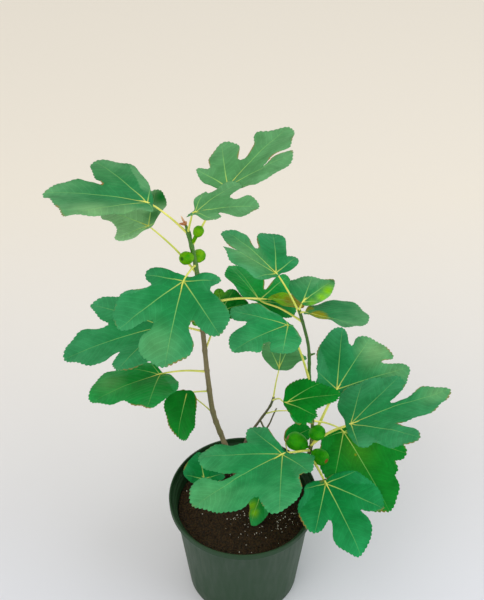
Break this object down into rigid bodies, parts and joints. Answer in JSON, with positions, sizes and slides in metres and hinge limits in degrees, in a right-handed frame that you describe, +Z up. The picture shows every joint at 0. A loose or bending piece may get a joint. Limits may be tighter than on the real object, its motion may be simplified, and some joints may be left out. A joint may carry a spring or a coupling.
{
  "type": "potted fig tree",
  "caption": "Young fig tree with stems, lobed leaves on long stalks and small green figs, growing in a round plastic nursery pot filled with compost.",
  "frame": {"origin": "middle of the pot's flat underside", "axes": "+Z up, +X to the right of the side that shows the plant best, +Y away from that side"},
  "size_m": [0.594, 0.377, 0.8437],
  "materials": {
    "pot_plastic": "matt",
    "compost": "rough",
    "bark": "rough",
    "green_bark": "satin",
    "leaf": "matt"
  },
  "bodies": {
    "root": {"pot": "pot_plastic", "compost": "compost", "left_stem": "bark", "right_arm": "bark", "right_stem": "green_bark", "side_twig": "bark", "left_leaf_1": "leaf", "left_leaf_2": "leaf", "left_leaf_3": "leaf", "left_leaf_4": "leaf", "left_leaf_5": "leaf", "left_leaf_6": "leaf", "left_leaf_7": "leaf", "left_leaf_8": "leaf", "left_leaf_9": "leaf", "left_leaf_10": "leaf", "left_leaf_11": "leaf", "right_leaf_1": "leaf", "right_leaf_2": "leaf", "right_leaf_3": "leaf", "right_leaf_4": "leaf", "right_leaf_5": "leaf", "right_leaf_6": "leaf", "right_leaf_7": "leaf", "right_leaf_8": "leaf", "right_leaf_9": "leaf", "right_leaf_10": "leaf", "right_arm_leaf_1": "leaf", "right_arm_leaf_2": "leaf", "right_arm_leaf_3": "leaf", "side_twig_leaf_1": "leaf", "side_twig_leaf_2": "leaf", "side_twig_leaf_3": "leaf"}
  },
  "joints": []
}
